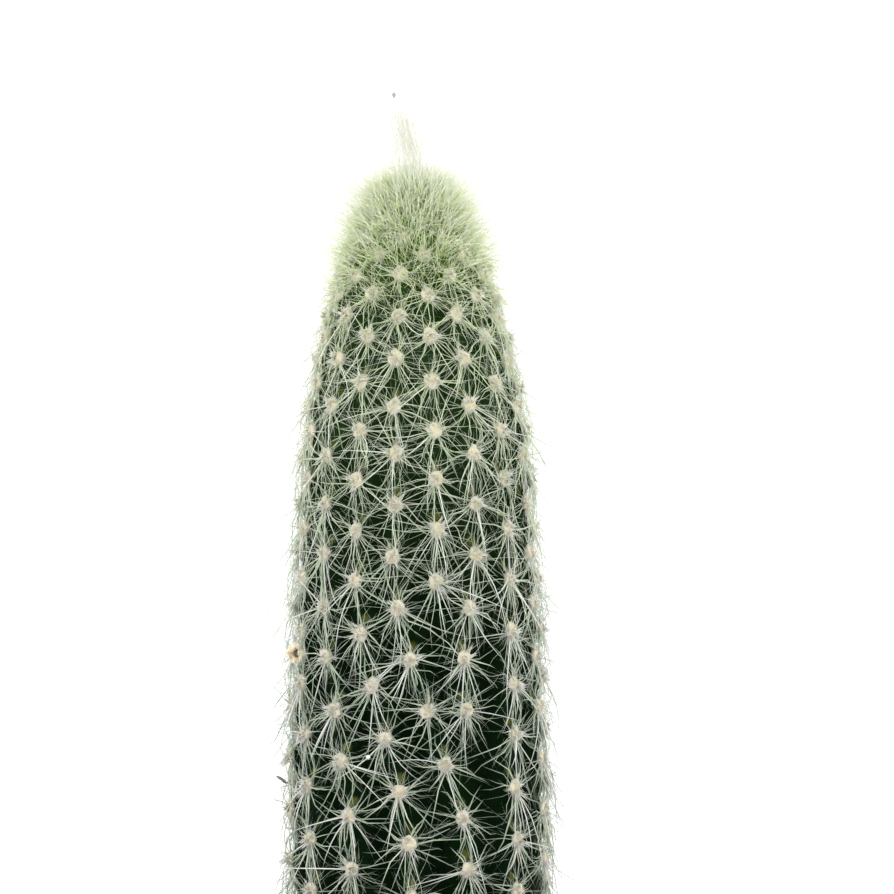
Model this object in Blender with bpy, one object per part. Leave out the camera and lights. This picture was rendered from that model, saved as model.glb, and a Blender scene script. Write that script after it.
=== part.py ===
"""A columnar cactus with woolly areoles and fine pale spines, in gritty potting mix in a plain clay pot.

Metres, +Z up. The origin is the middle of the pot's underside, and the side seen first is the one at -Y.
"""

import math
import random

import bmesh
import bpy
from mathutils import Vector

# Driving dimensions of the pot
POT_HEIGHT = 0.088
POT_FOOT_RADIUS = 0.0345
POT_BODY_TOP_RADIUS = 0.0458
POT_RIM_RADIUS = 0.0525
POT_RIM_HEIGHT = 0.021
POT_RIM_TAPER = 0.0016
POT_WALL = 0.0055
POT_MOUTH_WALL = 0.0067
POT_FLOOR = 0.007
POT_EDGE_ROUND = 0.0014
POT_FLOOR_ROUND = 0.0028
DRAIN_RADIUS = 0.007
POT_SIDES = 48
SHARP_ANGLE = 35.0

# Driving dimensions of the potting mix
MIX_BELOW_RIM = 0.011
MIX_EDGE_DROP = 0.0008
MIX_MOUND = 0.0006
MIX_SIDES = 48
HOLE_RINGS = 5
STONE_COUNT = 64
STONE_RADII = (0.0017, 0.0032)
STONE_WIDTHS = (0.85, 1.2)
STONE_HEIGHTS = (0.55, 0.8)
STONE_TILT = 0.3
STONE_BEDS = (-0.1, 0.2)
STONE_MARGIN = 1.25
TOUCH_GAP = 0.0006

# Driving dimensions of the stem. Depth is measured down from its tip.
STEM_ABOVE_MIX = 0.174
CROWN_DEPTH = 0.065
SHOULDER_RADIUS = 0.0223
WAIST_RADIUS = 0.0251
WAIST_DEPTH = 0.140
NECK_RADIUS = 0.0235
NECK_LENGTH = 0.020
ROOT_RADIUS = 0.009
ROOT_DEPTH = 0.034
CROWN_ROUNDNESS = (1.55, 0.57)
TIP_LEAN = Vector((-0.0014, 0.0, 0.0))

# The areoles stand on ribs: 18 at the crown, of which 4 die out on the way down
RIBS = 18
FIRST_RIB_AZIMUTH = -10.0
SURVIVING_RIB_AZIMUTH = 22.5
RIB_SHIFT_DEPTHS = (0.077, 0.137)
ENDING_RIBS = {1: 0.082, 2: 0.107, 8: 0.092, 11: 0.110}
RIB_LEAN = {2: -8.0}
LEAN_DEPTHS = (0.075, 0.095)
HALF_PITCH = 0.00515
CROWN_CROWDING = 0.72
CROWDING_STEPS = 7.0
FIRST_AREOLE_STEP = 3
BARE_BASE = 0.0055
AREOLE_SCATTER = 0.00028
AREOLE_SHARE = 19.0
AREOLE_RISE = 0.72
VALLEY_DEPTH = 0.0011
BRIDGE_SLANT = 0.7
LENGTH_SQUEEZE = 0.78
NECK_COLUMNS = 20
NECK_RINGS = 4
NECK_RING_SPREAD = 0.25

# Driving dimensions of the spines
SPINE_ROOT_RADIUS = 0.00022
SPINE_ROOT_SUNK = 0.0012
RADIAL_LENGTH = 0.0090
RADIAL_LIFT = 33.0
CENTRAL_LENGTH = 0.0165
CENTRAL_LIFT = 24.0
CENTRAL_SWAY = 0.35
CENTRAL_EVERY = 4
CROWN_SPINE_STEPS = 11
CROWN_SPINE_RISE = 0.8
CROWN_SPINE_SPLAY = 0.33
CROWN_SPINE_SHRINK = 0.25
PLUME_HEIGHT = 0.0160
PLUME_LEAN = -0.0036
PLUME_SPACING = 0.0011
PLUME_STEP = 0.09
PLUME_SUNK = 0.0015
PLUME_SPINES = 7
GOLDEN_ANGLE = 137.50776
SEED = 20

UP = Vector((0.0, 0.0, 1.0))
MIX_TOP = POT_HEIGHT - MIX_BELOW_RIM
STEM_TIP = MIX_TOP + STEM_ABOVE_MIX
PROFILE_STEPS = 2400
WELD = 1e-6


def clear_scene():
    """Leaves nothing of the startup scene."""
    for old in list(bpy.data.objects):
        bpy.data.objects.remove(old)


def material(name, colour, roughness):
    """A plain Principled material."""
    made = bpy.data.materials.new(name)
    made.use_nodes = True
    shader = made.node_tree.nodes["Principled BSDF"]
    shader.inputs["Base Color"].default_value = (*colour, 1.0)
    shader.inputs["Roughness"].default_value = roughness
    return made


def add_object(name, bm, finish, collection=None):
    """Turns a bmesh into a named object with its finish."""
    mesh = bpy.data.meshes.new(name)
    bm.to_mesh(mesh)
    bm.free()
    mesh.materials.append(finish)
    made = bpy.data.objects.new(name, mesh)
    (collection or bpy.context.scene.collection).objects.link(made)
    return made


def smooth_step(low, high, value):
    """Rises smoothly from 0 at low to 1 at high."""
    share = min(1.0, max(0.0, (value - low) / (high - low)))
    return share * share * (3.0 - 2.0 * share)


def turned(profile, sides):
    """Spins an outline of (radius, height) points into one body, and caps it where the outline is open."""
    bm = bmesh.new()
    corners = [bm.verts.new((radius, 0.0, height)) for radius, height in profile]
    edges = [bm.edges.new(pair) for pair in zip(corners, corners[1:])]
    bmesh.ops.spin(
        bm, geom=corners + edges, axis=UP, cent=(0, 0, 0),
        angle=math.tau, steps=sides, use_merge=True, use_duplicate=False,
    )
    bmesh.ops.remove_doubles(bm, verts=bm.verts, dist=WELD)
    bmesh.ops.holes_fill(bm, edges=[edge for edge in bm.edges if edge.is_boundary], sides=0)
    bmesh.ops.recalc_face_normals(bm, faces=bm.faces)
    return bm


def scattered(number, radius):
    """The offset of one of several points spread evenly by the golden angle."""
    turn = math.radians(GOLDEN_ANGLE * number)
    return Vector((radius * math.cos(turn), radius * math.sin(turn), 0.0))


def fuse(body, collection):
    """Joins everything in the collection to the body, for good."""
    joined = body.modifiers.new("fused", "BOOLEAN")
    joined.operation = "UNION"
    joined.operand_type = "COLLECTION"
    joined.collection = collection
    joined.solver = "EXACT"
    graph = bpy.context.evaluated_depsgraph_get()
    mesh = bpy.data.meshes.new_from_object(body.evaluated_get(graph))
    body.modifiers.clear()
    body.data = mesh
    for used in list(collection.objects):
        bpy.data.objects.remove(used)
    bpy.data.collections.remove(collection)


def new_collection(name):
    """An empty collection in the scene."""
    made = bpy.data.collections.new(name)
    bpy.context.scene.collection.children.link(made)
    return made


# The pot: one turned wall with a drain hole in its floor
def pot_inner_radius(height):
    """The radius of the pot's inner wall at a height above the surface it stands on."""
    bottom, top = POT_FOOT_RADIUS - POT_WALL, POT_RIM_RADIUS - POT_MOUTH_WALL
    return bottom + (top - bottom) * (height - POT_FLOOR) / (POT_HEIGHT - POT_FLOOR)


def make_pot(finish):
    """The clay pot: a tapered body, a collar round the rim and softened edges."""
    collar_foot = POT_HEIGHT - POT_RIM_HEIGHT
    rounding = POT_EDGE_ROUND
    profile = [
        (DRAIN_RADIUS, 0.0),
        (POT_FOOT_RADIUS - rounding, 0.0),
        (POT_FOOT_RADIUS, rounding),
        (POT_BODY_TOP_RADIUS, collar_foot),
        (POT_RIM_RADIUS - POT_RIM_TAPER - rounding, collar_foot),
        (POT_RIM_RADIUS - POT_RIM_TAPER, collar_foot + rounding),
        (POT_RIM_RADIUS, POT_HEIGHT - rounding),
        (POT_RIM_RADIUS - rounding, POT_HEIGHT),
        (pot_inner_radius(POT_HEIGHT) + rounding, POT_HEIGHT),
        (pot_inner_radius(POT_HEIGHT - rounding), POT_HEIGHT - rounding),
        (pot_inner_radius(POT_FLOOR + POT_FLOOR_ROUND), POT_FLOOR + POT_FLOOR_ROUND),
        (pot_inner_radius(POT_FLOOR) - POT_FLOOR_ROUND, POT_FLOOR),
        (DRAIN_RADIUS, POT_FLOOR),
        (DRAIN_RADIUS, 0.0),
    ]
    pot = add_object("pot", turned(profile, POT_SIDES), finish)
    pot.data.shade_smooth()
    pot.data.set_sharp_from_angle(angle=math.radians(SHARP_ANGLE))
    return pot


# The stem's outline, followed from the tip down
def stem_radius(depth):
    """The radius over the ribs at a depth below the tip, down to the mix."""
    if depth < CROWN_DEPTH:
        taper, fullness = CROWN_ROUNDNESS
        return SHOULDER_RADIUS * (1.0 - (1.0 - depth / CROWN_DEPTH) ** taper) ** fullness
    swell = math.sin(math.pi / 2 * min(1.0, (depth - CROWN_DEPTH) / (WAIST_DEPTH - CROWN_DEPTH)))
    radius = SHOULDER_RADIUS + (WAIST_RADIUS - SHOULDER_RADIUS) * swell
    neck = smooth_step(STEM_ABOVE_MIX - NECK_LENGTH, STEM_ABOVE_MIX, depth)
    return radius + (NECK_RADIUS - radius) * neck


def buried_radius(depth):
    """The radius of the stem's buried end, which rounds in to the root neck."""
    share = min(1.0, (depth - STEM_ABOVE_MIX) / ROOT_DEPTH)
    return ROOT_RADIUS + (NECK_RADIUS - ROOT_RADIUS) * math.sqrt(1.0 - share * share)


def stem_outline():
    """Stations (arc, depth, radius, spread) down the stem. Spread is the arc over the radius, summed."""
    stations, arc, spread = [], 0.0, 0.0
    last_depth, last_radius = 0.0, 0.0
    total = STEM_ABOVE_MIX + ROOT_DEPTH
    for step in range(1, PROFILE_STEPS + 1):
        depth = total * (step / PROFILE_STEPS) ** 1.5
        radius = stem_radius(depth) if depth < STEM_ABOVE_MIX else buried_radius(depth)
        length = math.hypot(depth - last_depth, radius - last_radius)
        arc += length
        spread += length / (0.5 * (radius + last_radius))
        stations.append((arc, depth, radius, spread))
        last_depth, last_radius = depth, radius
    return stations


OUTLINE = stem_outline()


def station_at(arc):
    """The station of the outline nearest to an arc length from the tip."""
    low, high = 0, len(OUTLINE) - 1
    while low < high:
        middle = (low + high) // 2
        if OUTLINE[middle][0] < arc:
            low = middle + 1
        else:
            high = middle
    return OUTLINE[low]


def on_stem(azimuth, depth, radius):
    """The point at an azimuth in degrees, 0 facing -Y and 90 facing +X."""
    turn = math.radians(azimuth)
    lean = TIP_LEAN * (1.0 - depth / STEM_ABOVE_MIX) ** 2 if depth < STEM_ABOVE_MIX else Vector()
    return Vector((radius * math.sin(turn), -radius * math.cos(turn), STEM_TIP - depth)) + lean


def on_ball(azimuth, spread):
    """The point on a unit ball, lengths down the stem squeezed so that a net's long lines follow the ribs."""
    turn = math.radians(azimuth)
    middle = 0.5 * (station_at(HALF_PITCH)[3] + station_at(STEM_ABOVE_MIX)[3])
    height = LENGTH_SQUEEZE * (middle - spread)
    ring = 1.0 / math.cosh(height)
    return Vector((ring * math.sin(turn), -ring * math.cos(turn), math.tanh(height)))


# The areoles' places
def rib_azimuth(rib, depth):
    """The azimuth of a rib at a depth. Below the ribs that die out, the others spread evenly."""
    crown = FIRST_RIB_AZIMUTH + 360.0 / RIBS * rib
    if rib in ENDING_RIBS:
        return crown + RIB_LEAN.get(rib, 0.0) * smooth_step(*LEAN_DEPTHS, depth)
    left = RIBS - len(ENDING_RIBS)
    rank = sum(1 for other in range(rib) if other not in ENDING_RIBS)
    base = SURVIVING_RIB_AZIMUTH + 360.0 / left * rank
    turn = (base - crown + 180.0) % 360.0 - 180.0
    return crown + turn * smooth_step(*RIB_SHIFT_DEPTHS, depth)


def areole_places(draw):
    """Every areole as (step, azimuth, station), in half-pitch rows that neighbouring ribs take in turn."""
    places, arc, step = [], 0.0, 0
    while True:
        station = station_at(arc)
        if station[1] > STEM_ABOVE_MIX - BARE_BASE:
            return places
        if step >= FIRST_AREOLE_STEP:
            for rib in range(RIBS):
                if (rib + step) % 2 == 0 or station[1] > ENDING_RIBS.get(rib, math.inf):
                    continue
                scatter = AREOLE_SCATTER * min(1.0, step / CROWN_SPINE_STEPS)
                nudged = station_at(arc + draw.uniform(-scatter, scatter))
                sway = math.degrees(draw.uniform(-scatter, scatter) / station[2])
                places.append((step, rib_azimuth(rib, station[1]) + sway, nudged))
        arc += HALF_PITCH * (1.0 - CROWN_CROWDING * math.exp(-step / CROWDING_STEPS))
        step += 1


def make_skin(places):
    """The stem's skin: a net over the areoles, its corners raised as pads and its meshes sunk as valleys."""
    bm = bmesh.new()
    spots = [(azimuth, station, station[3]) for _, azimuth, station in places]
    spots.append((0.0, OUTLINE[0], OUTLINE[0][3]))
    neck = next(station for station in OUTLINE if station[1] >= STEM_ABOVE_MIX)
    for ring in range(NECK_RINGS):
        arc = neck[0] + (OUTLINE[-1][0] - neck[0]) * ring / (NECK_RINGS - 1)
        for column in range(NECK_COLUMNS):
            azimuth = 360.0 / NECK_COLUMNS * (column + 0.5 * (ring % 2))
            spots.append((azimuth, station_at(arc), neck[3] + NECK_RING_SPREAD * ring))
    verts = [bm.verts.new(on_ball(azimuth, spread)) for azimuth, _, spread in spots]
    bmesh.ops.convex_hull(bm, input=verts)
    for vert, (azimuth, station, _) in zip(verts, spots):
        vert.co = on_stem(azimuth, station[1], station[2])
    pads = bmesh.ops.bevel(
        bm, geom=verts[: len(places)], offset=AREOLE_SHARE, offset_type="PERCENT",
        affect="VERTICES", segments=1, profile=0.5, material=-1,
    )["faces"]
    pad_set = set(pads)
    valleys = [
        face for face in bm.faces
        if face not in pad_set and face.calc_center_median().z > MIX_TOP + BARE_BASE
    ]
    poked = bmesh.ops.poke(bm, faces=valleys, offset=0.0, center_mode="MEAN", use_relative_offset=False)
    slopes, floors = set(poked["faces"]), set(poked["verts"])
    bm.normal_update()
    for floor in floors:
        floor.co -= floor.normal * VALLEY_DEPTH * math.hypot(floor.co.x, floor.co.y) / WAIST_RADIUS
    bridges = [
        edge for edge in bm.edges
        if floors.isdisjoint(edge.verts) and slopes.issuperset(edge.link_faces) and crosses_valley(edge)
    ]
    bmesh.ops.rotate_edges(bm, edges=bridges, use_ccw=False)
    bmesh.ops.poke(bm, faces=pads, offset=AREOLE_RISE, center_mode="MEAN", use_relative_offset=True)
    bmesh.ops.recalc_face_normals(bm, faces=bm.faces)
    return bm


def crosses_valley(edge):
    """Whether an edge between two pads runs from one rib to the next, and not along a rib."""
    a, b = (vert.co for vert in edge.verts)
    return math.hypot(a.x - b.x, a.y - b.y) > BRIDGE_SLANT * abs(a.z - b.z)


# The spines
def skin_frame(azimuth, station):
    """The outward normal, the way down the stem and the way round it, at a place on the skin."""
    above = station_at(station[0] - SPINE_ROOT_SUNK)
    below = station_at(station[0] + SPINE_ROOT_SUNK)
    down = on_stem(azimuth, below[1], below[2]) - on_stem(azimuth, above[1], above[2])
    down.normalize()
    turn = math.radians(azimuth)
    round_way = Vector((math.cos(turn), math.sin(turn), 0.0))
    return down.cross(round_way).normalized(), down, round_way


def make_spine(collection, finish, root, direction, length):
    """One three-sided spine that tapers to a point, its root sunk below the given place."""
    bm = bmesh.new()
    whole = length + SPINE_ROOT_SUNK
    bmesh.ops.create_cone(
        bm, cap_ends=True, segments=3, radius1=SPINE_ROOT_RADIUS, radius2=0.0, depth=whole,
    )
    bmesh.ops.remove_doubles(bm, verts=bm.verts, dist=WELD)
    bmesh.ops.translate(bm, verts=bm.verts, vec=(0, 0, whole / 2 - SPINE_ROOT_SUNK))
    turn = direction.to_track_quat("Z", "Y").to_matrix()
    bmesh.ops.rotate(bm, verts=bm.verts, cent=(0, 0, 0), matrix=turn)
    bmesh.ops.translate(bm, verts=bm.verts, vec=root)
    add_object("spine", bm, finish, collection)


def spine_directions(index, step, azimuth, station):
    """The (direction, length) of each spine that an areole bears."""
    normal, down, round_way = skin_frame(azimuth, station)
    crown = 1.0 - smooth_step(FIRST_AREOLE_STEP, CROWN_SPINE_STEPS, step)
    lift = math.radians(RADIAL_LIFT)
    near_mix = station[1] > STEM_ABOVE_MIX - RADIAL_LENGTH - BARE_BASE
    for number in range(1 + index % 2):
        way = math.radians(GOLDEN_ANGLE * index + 180.0 * number)
        along = round_way * math.sin(way) + down * math.cos(way)
        if near_mix and along.z < 0.0:
            along = round_way * math.sin(way) - down * math.cos(way)
        direction = along * math.cos(lift) + normal * math.sin(lift)
        direction = direction.lerp(UP + normal * CROWN_SPINE_SPLAY, CROWN_SPINE_RISE * crown)
        yield direction.normalized(), RADIAL_LENGTH * (1.0 - CROWN_SPINE_SHRINK * crown)
    far_from_mix = station[1] < STEM_ABOVE_MIX - CENTRAL_LENGTH - BARE_BASE
    if index % CENTRAL_EVERY == 0 and step > CROWN_SPINE_STEPS and far_from_mix:
        lift = math.radians(CENTRAL_LIFT)
        side = CENTRAL_SWAY * math.sin(math.radians(GOLDEN_ANGLE * index))
        direction = down * math.cos(lift) + normal * math.sin(lift) + round_way * side
        yield direction.normalized(), CENTRAL_LENGTH


def make_cactus(finish, draw):
    """The plant, grown as one piece: ribbed stem, woolly pads, spines, and a root neck in the mix."""
    places = areole_places(draw)
    cactus = add_object("cactus", make_skin(places), finish)
    spines = new_collection("spines")
    for index, (step, azimuth, station) in enumerate(places):
        root = on_stem(azimuth, station[1], station[2])
        for direction, length in spine_directions(index, step, azimuth, station):
            make_spine(spines, finish, root, direction, length)
    for number in range(PLUME_SPINES):
        offset = scattered(number, PLUME_SPACING * math.sqrt(number))
        root = on_stem(0.0, PLUME_SUNK, 0.0) + offset
        rise = Vector((PLUME_LEAN, 0.0, PLUME_HEIGHT * (1.0 - PLUME_STEP * number))) + 0.5 * offset
        make_spine(spines, finish, root, rise.normalized(), rise.z + PLUME_SUNK)
    fuse(cactus, spines)
    return cactus


# The potting mix
def make_mix(finish, draw):
    """The mix: a plug that fills the pot, with a plain hole for the stem and stones fused over its top."""
    wall = pot_inner_radius(MIX_TOP) - TOUCH_GAP
    hole_radius = NECK_RADIUS + TOUCH_GAP
    hole = []
    for ring in range(HOLE_RINGS):
        depth = STEM_ABOVE_MIX + ROOT_DEPTH * math.sin(math.pi / 2 * ring / HOLE_RINGS)
        hole.append((buried_radius(depth) + TOUCH_GAP, STEM_TIP - depth))
    profile = [
        (pot_inner_radius(POT_FLOOR) - POT_FLOOR_ROUND - TOUCH_GAP, POT_FLOOR + 0.5 * TOUCH_GAP),
        (pot_inner_radius(POT_FLOOR + POT_FLOOR_ROUND) - TOUCH_GAP, POT_FLOOR + POT_FLOOR_ROUND),
        (wall, MIX_TOP - MIX_EDGE_DROP),
        (0.5 * (hole_radius + wall), MIX_TOP + MIX_MOUND),
        *hole,
        (ROOT_RADIUS + TOUCH_GAP, MIX_TOP - ROOT_DEPTH - TOUCH_GAP),
    ]
    mix = add_object("potting_mix", turned(profile, MIX_SIDES), finish)
    stones = new_collection("stones")
    for number in range(STONE_COUNT):
        size = draw.uniform(*STONE_RADII)
        near = hole_radius + TOUCH_GAP + STONE_MARGIN * size
        far = wall - STONE_MARGIN * size
        share = (number + 0.5) / STONE_COUNT
        offset = scattered(number, math.sqrt(near ** 2 + (far ** 2 - near ** 2) * share))
        make_stone(stones, finish, offset + UP * (MIX_TOP + size * draw.uniform(*STONE_BEDS)), size, draw)
    fuse(mix, stones)
    return mix


def make_stone(collection, finish, place, size, draw):
    """One rounded, slightly flattened stone."""
    bm = bmesh.new()
    bmesh.ops.create_icosphere(bm, subdivisions=1, radius=size)
    widths = (draw.uniform(*STONE_WIDTHS), draw.uniform(*STONE_WIDTHS), draw.uniform(*STONE_HEIGHTS))
    bmesh.ops.scale(bm, verts=bm.verts, vec=widths)
    leaning = UP + Vector((draw.uniform(-STONE_TILT, STONE_TILT), draw.uniform(-STONE_TILT, STONE_TILT), 0.0))
    turn = leaning.to_track_quat("Z", "Y").to_matrix()
    bmesh.ops.rotate(bm, verts=bm.verts, cent=(0, 0, 0), matrix=turn)
    bmesh.ops.translate(bm, verts=bm.verts, vec=place)
    add_object("stone", bm, finish, collection)


def main():
    clear_scene()
    draw = random.Random(SEED)
    make_pot(material("clay", (0.56, 0.27, 0.16), 0.85))
    make_mix(material("gritty_mix", (0.20, 0.15, 0.11), 0.95), draw)
    make_cactus(material("cactus_skin", (0.10, 0.19, 0.09), 0.6), draw)


main()
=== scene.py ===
# %% [markdown]
# # A potted old man cactus
#
# The solid model of the plant, its potting mix and its pot is loaded first and never changed. Everything
# that the eye reads as a living cactus is then made over it: the ribbed skin, the woolly areoles, several
# kinds of spine, the tuft at the tip, the loose grit and the turned clay. Lengths are in metres, the pot
# stands on z = 0, and the side that the camera sees faces -Y.

import math
import random

import bmesh
import bpy
import numpy as np
from mathutils import Matrix, Vector, noise


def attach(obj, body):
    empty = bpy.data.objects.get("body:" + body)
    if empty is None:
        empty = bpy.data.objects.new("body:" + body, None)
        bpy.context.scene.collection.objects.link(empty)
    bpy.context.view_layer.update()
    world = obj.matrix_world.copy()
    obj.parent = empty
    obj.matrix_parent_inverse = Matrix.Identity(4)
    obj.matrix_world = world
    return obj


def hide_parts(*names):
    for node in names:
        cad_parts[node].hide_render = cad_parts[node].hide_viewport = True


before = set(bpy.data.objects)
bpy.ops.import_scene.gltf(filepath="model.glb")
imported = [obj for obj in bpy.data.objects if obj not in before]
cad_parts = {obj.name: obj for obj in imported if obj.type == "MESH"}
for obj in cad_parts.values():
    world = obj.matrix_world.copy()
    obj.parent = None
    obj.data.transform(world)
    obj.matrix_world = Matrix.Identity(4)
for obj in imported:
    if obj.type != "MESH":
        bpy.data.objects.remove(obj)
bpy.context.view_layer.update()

# %% [markdown]
# ## The camera
#
# The photograph looks straight at the column from the side, with no horizon and no converging lines, so a
# long lens fits it. One pixel of the picture covers a fifth of a millimetre at the stem. From that the lens
# follows: the sensor is to the width of the view as the focal length is to the distance.

# %% Set up the camera
PHOTO_SIDE = 894
PIXEL = 0.0002
SENSOR = 36.0
CAMERA_DISTANCE = 0.7
VIEW_CENTRE = Vector((0.0056, 0.0, 0.1966))

camera_data = bpy.data.cameras.new("camera")
camera_data.sensor_width = SENSOR
camera_data.lens = SENSOR * CAMERA_DISTANCE / (PHOTO_SIDE * PIXEL)
camera = bpy.data.objects.new("camera", camera_data)
camera.location = VIEW_CENTRE + Vector((0.0, -CAMERA_DISTANCE, 0.0))
camera.rotation_euler = (math.radians(90.0), 0.0, 0.0)
bpy.context.scene.collection.objects.link(camera)
bpy.context.scene.camera = camera
print("focal length", round(camera_data.lens, 1), "mm")

# %% [markdown]
# ## Light and floor
#
# The plant was shot on white in soft light. A white world gives the even light and the white ground. One
# large lamp from the upper left gives the spines a bright side, and a weaker one on the right fills the
# shadows. A lamp larger than its subject throws soft shadows, which is why its size matters more than its
# shape. The Standard view keeps white pure white.

# %% Light the studio
WORLD_LIGHT = 1.3
LAMPS = [
    ("key_lamp", (-0.45, -0.75, 0.75), 0.5, 1.4),
    ("fill_lamp", (0.75, -0.45, 0.35), 0.6, 0.9),
]

world = bpy.data.worlds.new("studio")
world.use_nodes = True
backdrop = world.node_tree.nodes["Background"]
backdrop.inputs["Color"].default_value = (1.0, 1.0, 1.0, 1.0)
backdrop.inputs["Strength"].default_value = WORLD_LIGHT
bpy.context.scene.world = world
bpy.context.scene.view_settings.view_transform = "Standard"

for name, place, size, power in LAMPS:
    lamp_data = bpy.data.lights.new(name, "AREA")
    lamp_data.size = size
    lamp_data.energy = power
    lamp = bpy.data.objects.new(name, lamp_data)
    lamp.location = place
    aim = Vector((0.0, 0.0, 0.18)) - lamp.location
    lamp.rotation_euler = aim.to_track_quat("-Z", "Y").to_euler()
    bpy.context.scene.collection.objects.link(lamp)
print("lamps", [lamp[0] for lamp in LAMPS])

# %% [markdown]
# ## Writing materials as sums
#
# A procedural material is a web of nodes. Linking them by hand is long, so a socket is wrapped in a small
# class that understands plus, minus and times: the sum `1 - mask * 0.5` then adds the Math nodes by itself.
# A Math node works on numbers alone and would turn a colour grey, so colours go through a Mix node. Every
# finish is painted like a wall, in coats, and a mask says where each coat covers.


# %% Make the material helpers
class Wire:
    """An output socket that can stand in a sum."""

    def __init__(self, finish, socket):
        self.finish, self.socket = finish, socket

    def maths(self, operation, first, second):
        return self.finish.node("ShaderNodeMath", {"operation": operation}, {0: first, 1: second})

    def __add__(self, other):
        return self.maths("ADD", self, other)

    def __sub__(self, other):
        return self.maths("SUBTRACT", self, other)

    def __rsub__(self, other):
        return self.maths("SUBTRACT", other, self)

    def __mul__(self, other):
        return self.maths("MULTIPLY", self, other)

    __radd__ = __add__
    __rmul__ = __mul__


class Finish:
    """A material built round one Principled shader."""

    def __init__(self, name, roughness):
        self.material = bpy.data.materials.new(name)
        self.material.use_nodes = True
        self.tree = self.material.node_tree
        self.shader = self.tree.nodes["Principled BSDF"]
        self.shader.inputs["Roughness"].default_value = roughness
        self.place = self.node("ShaderNodeTexCoord", {}, {}, "Object")

    def node(self, kind, settings, sockets, output=0):
        """Adds a node with its settings, the colour stops of a ramp among them, and feeds its sockets."""
        made = self.tree.nodes.new(kind)
        stops = settings.pop("stops", None)
        for name, value in settings.items():
            setattr(made, name, value)
        if stops:
            ramp = made.color_ramp
            while len(ramp.elements) < len(stops):
                ramp.elements.new(1.0)
            for element, (position, colour) in zip(ramp.elements, stops):
                element.position = position
                element.color = (*colour, 1.0)
        for key, value in sockets.items():
            if isinstance(value, Wire):
                self.tree.links.new(value.socket, made.inputs[key])
            else:
                made.inputs[key].default_value = value
        return Wire(self, made.outputs[output])

    def noise(self, size, detail=2.0):
        """A cloudy pattern from 0 to 1 whose patches are about this many metres across."""
        sockets = {"Vector": self.place, "Scale": 1.0 / size, "Detail": detail}
        return self.node("ShaderNodeTexNoise", {}, sockets, "Fac")

    def attribute(self, name):
        """A number that was stored on the mesh's points."""
        return self.node("ShaderNodeAttribute", {"attribute_name": name}, {}, "Fac")

    def step(self, value, low, high):
        """Rises smoothly from 0 to 1 as value goes from low to high."""
        sockets = {"Value": value, "From Min": low, "From Max": high}
        return self.node("ShaderNodeMapRange", {"interpolation_type": "SMOOTHSTEP"}, sockets)

    def height(self):
        """How far up the object a point is."""
        return self.node("ShaderNodeSeparateXYZ", {}, {0: self.place}, "Z")

    def mix(self, share, first, second):
        """The first colour, with this share of the second over it."""
        sockets = {0: share, 6: first, 7: second}
        for key in (6, 7):
            if not isinstance(sockets[key], Wire):
                sockets[key] = (*sockets[key], 1.0)
        return self.node("ShaderNodeMix", {"data_type": "RGBA"}, sockets, 2)

    def feed(self, name, wire):
        """Links a wire to a socket of the shader."""
        self.tree.links.new(wire.socket, self.shader.inputs[name])

    def paint(self, colour, coats):
        """Lays coats of (share, colour) over a colour and feeds what they give to the shader."""
        for share, coat in coats:
            colour = self.mix(share, colour, coat)
        self.feed("Base Color", colour)

    def glow(self, weight, reach, depth):
        """Lets light through. The reach of red, green and blue is in units of the depth."""
        for name, value in (("Weight", weight), ("Radius", reach), ("Scale", depth)):
            self.shader.inputs["Subsurface " + name].default_value = value

    def bump(self, height, distance, strength=1.0):
        """Lets a pattern of heights tilt the light, for relief too fine to model."""
        sockets = {"Height": height, "Distance": distance, "Strength": strength}
        self.feed("Normal", self.node("ShaderNodeBump", {}, sockets))


# %% [markdown]
# ## The floor
#
# The floor is a plain disc, pale enough to melt into the white ground. It is not attached to the plant's
# body. It lies a hair below the pot's foot, because two faces in one plane flicker.

# %% Lay the floor
FLOOR_RADIUS = 0.6
FLOOR_DROP = 0.0002

floor_finish = Finish("pale_floor", 0.9)
floor_finish.paint((0.86, 0.86, 0.85), [(floor_finish.noise(0.05), (0.90, 0.90, 0.89))])


def add_piece(name, bm, finish, smooth=True):
    """Turns a bmesh into a named object with its finish, its place kept in the mesh."""
    mesh = bpy.data.meshes.new(name)
    bm.to_mesh(mesh)
    bm.free()
    mesh.materials.append(finish.material)
    if smooth:
        mesh.shade_smooth()
    piece = bpy.data.objects.new(name, mesh)
    bpy.context.scene.collection.objects.link(piece)
    print(name, "has", sum(len(face.vertices) - 2 for face in mesh.polygons), "triangles")
    return piece


bm = bmesh.new()
bmesh.ops.create_circle(bm, cap_ends=True, segments=96, radius=FLOOR_RADIUS)
bmesh.ops.translate(bm, verts=bm.verts, vec=(0.0, 0.0, -FLOOR_DROP))
floor = add_piece("floor", bm, floor_finish, smooth=False)

# %% [markdown]
# ## The stem's outline
#
# A cactus stem is close to a turned form: a round crown, a column that swells a little and a neck where it
# enters the mix. One outline of radius against depth below the tip describes it. The outline is walked once
# in small steps, and the length of the walk, the arc, then places everything that grows on the skin.

# %% Describe the outline
MIX_TOP = 0.077
STEM_ABOVE_MIX = 0.174
STEM_TIP = MIX_TOP + STEM_ABOVE_MIX
CROWN_DEPTH = 0.065
SHOULDER_RADIUS = 0.0223
WAIST_RADIUS = 0.0251
WAIST_DEPTH = 0.140
NECK_RADIUS = 0.0235
NECK_LENGTH = 0.020
ROOT_RADIUS = 0.009
ROOT_DEPTH = 0.034
CROWN_ROUNDNESS = (1.55, 0.57)
TIP_LEAN = np.array((-0.0014, 0.0, 0.0))
OUTLINE_STEPS = 2400


def smooth_step(low, high, value):
    """Rises smoothly from 0 at low to 1 at high."""
    share = np.clip((value - low) / (high - low), 0.0, 1.0)
    return share * share * (3.0 - 2.0 * share)


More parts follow.
